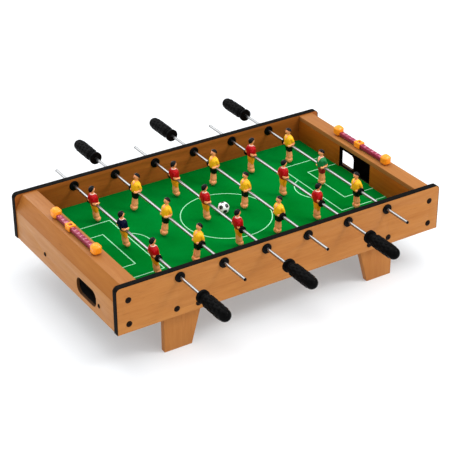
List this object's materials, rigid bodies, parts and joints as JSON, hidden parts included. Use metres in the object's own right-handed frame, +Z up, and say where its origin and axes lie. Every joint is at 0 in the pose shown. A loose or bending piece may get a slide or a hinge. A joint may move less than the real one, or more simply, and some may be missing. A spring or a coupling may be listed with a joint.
{
  "type": "tabletop foosball table",
  "caption": "Small table football game on four short legs: wooden cabinet, green pitch, sliding and spinning rods with players and grip handles, goals with ball returns, sliding score counters.",
  "frame": {"origin": "on the surface the table stands on, under the middle of the cabinet", "axes": "+X along the table from goal to goal, +Y across it along the rods, +Z up"},
  "size_m": [0.6, 0.62, 0.1645],
  "materials": {
    "panel_wood": "satin beech-coloured wood-grain foil",
    "top_wood": "satin light wood-grain foil",
    "inner_wood": "satin darker wood-grain foil",
    "black_trim": "satin black edge moulding",
    "green_field": "printed green sheet with pale pitch lines",
    "chromed_rod": "polished chromed steel tube",
    "black_grip": "glossy black moulded grip with raised lugs",
    "black_plastic": "satin black moulding",
    "black_rubber": "soft black rubber",
    "dark_screws": "dark bronze plated",
    "orange_plastic": "glossy orange moulding",
    "maroon_plastic": "glossy maroon moulding with pale numerals",
    "white_ball": "white with black pentagons",
    "red_team": "painted figures, red shirts",
    "yellow_team": "painted figures, yellow shirts",
    "black_tray": "satin black moulding"
  },
  "bodies": {
    "table": {"back_edge_trim": "black_trim", "back_left_leg": "panel_wood", "back_right_leg": "panel_wood", "back_side_panel": "panel_wood", "bushing_rings": "black_plastic", "cabinet_screws": "dark_screws", "corner_blocks": "inner_wood", "front_edge_trim": "black_trim", "front_left_leg": "panel_wood", "front_right_leg": "panel_wood", "front_side_panel": "panel_wood", "left_ball_tray": "black_tray", "left_end_panel": "panel_wood", "left_goal_wall": "inner_wood", "left_score_rail": "maroon_plastic", "left_slope_board": "top_wood", "left_top_board": "top_wood", "playfield_board": "green_field", "right_ball_tray": "black_tray", "right_end_panel": "panel_wood", "right_goal_wall": "inner_wood", "right_score_rail": "maroon_plastic", "right_slope_board": "top_wood", "right_top_board": "top_wood", "rod_bushings": "black_plastic", "score_posts": "orange_plastic", "tray_screws": "dark_screws"},
    "rod_1_slide": {"rod_1": "chromed_rod", "end_plug_1": "black_plastic"},
    "rod_1_spin": {"handle_1": "black_grip", "players_1": "red_team", "bumpers_1": "black_rubber"},
    "rod_2_slide": {"rod_2": "chromed_rod", "end_plug_2": "black_plastic"},
    "rod_2_spin": {"handle_2": "black_grip", "players_2": "yellow_team", "bumpers_2": "black_rubber"},
    "rod_3_slide": {"rod_3": "chromed_rod", "end_plug_3": "black_plastic"},
    "rod_3_spin": {"handle_3": "black_grip", "players_3": "red_team", "bumpers_3": "black_rubber"},
    "rod_4_slide": {"rod_4": "chromed_rod", "end_plug_4": "black_plastic"},
    "rod_4_spin": {"handle_4": "black_grip", "players_4": "yellow_team", "bumpers_4": "black_rubber"},
    "rod_5_slide": {"rod_5": "chromed_rod", "end_plug_5": "black_plastic"},
    "rod_5_spin": {"handle_5": "black_grip", "players_5": "red_team", "bumpers_5": "black_rubber"},
    "rod_6_slide": {"rod_6": "chromed_rod", "end_plug_6": "black_plastic"},
    "rod_6_spin": {"handle_6": "black_grip", "players_6": "yellow_team", "bumpers_6": "black_rubber"},
    "left_score_pointer": {"left_score_pointer": "orange_plastic"},
    "right_score_pointer": {"right_score_pointer": "orange_plastic"},
    "ball": {"ball": "white_ball"}
  },
  "joints": [
    {"name": "rod_1_push_pull", "type": "slide", "parent": "table", "child": "rod_1_slide", "axis": [0, 1, 0], "range_m": [-0.048, 0.054]},
    {"name": "rod_1_turn", "type": "hinge", "parent": "rod_1_slide", "child": "rod_1_spin", "pos_m": [-0.1925, -0.003, 0.133], "axis": [0, 1, 0], "continuous": true},
    {"name": "rod_2_push_pull", "type": "slide", "parent": "table", "child": "rod_2_slide", "axis": [0, 1, 0], "range_m": [-0.048, 0.054]},
    {"name": "rod_2_turn", "type": "hinge", "parent": "rod_2_slide", "child": "rod_2_spin", "pos_m": [-0.1155, -0.003, 0.133], "axis": [0, 1, 0], "continuous": true},
    {"name": "rod_3_push_pull", "type": "slide", "parent": "table", "child": "rod_3_slide", "axis": [0, 1, 0], "range_m": [-0.053, 0.049]},
    {"name": "rod_3_turn", "type": "hinge", "parent": "rod_3_slide", "child": "rod_3_spin", "pos_m": [-0.0385, 0.002, 0.133], "axis": [0, 1, 0], "continuous": true},
    {"name": "rod_4_push_pull", "type": "slide", "parent": "table", "child": "rod_4_slide", "axis": [0, 1, 0], "range_m": [-0.054, 0.048]},
    {"name": "rod_4_turn", "type": "hinge", "parent": "rod_4_slide", "child": "rod_4_spin", "pos_m": [0.0385, 0.003, 0.133], "axis": [0, 1, 0], "continuous": true},
    {"name": "rod_5_push_pull", "type": "slide", "parent": "table", "child": "rod_5_slide", "axis": [0, 1, 0], "range_m": [-0.056, 0.046]},
    {"name": "rod_5_turn", "type": "hinge", "parent": "rod_5_slide", "child": "rod_5_spin", "pos_m": [0.1155, 0.005, 0.133], "axis": [0, 1, 0], "continuous": true},
    {"name": "rod_6_push_pull", "type": "slide", "parent": "table", "child": "rod_6_slide", "axis": [0, 1, 0], "range_m": [-0.054, 0.048]},
    {"name": "rod_6_turn", "type": "hinge", "parent": "rod_6_slide", "child": "rod_6_spin", "pos_m": [0.1925, 0.003, 0.133], "axis": [0, 1, 0], "continuous": true},
    {"name": "left_score_slide", "type": "slide", "parent": "table", "child": "left_score_pointer", "axis": [0, 1, 0], "range_m": [-0.0677, 0.0327]},
    {"name": "right_score_slide", "type": "slide", "parent": "table", "child": "right_score_pointer", "axis": [0, 1, 0], "range_m": [-0.0572, 0.0432]},
    {"name": "ball_roll", "type": "slide", "parent": "table", "child": "ball", "axis": [0, 1, 0], "range_m": [-0.164, 0.146]}
  ]
}
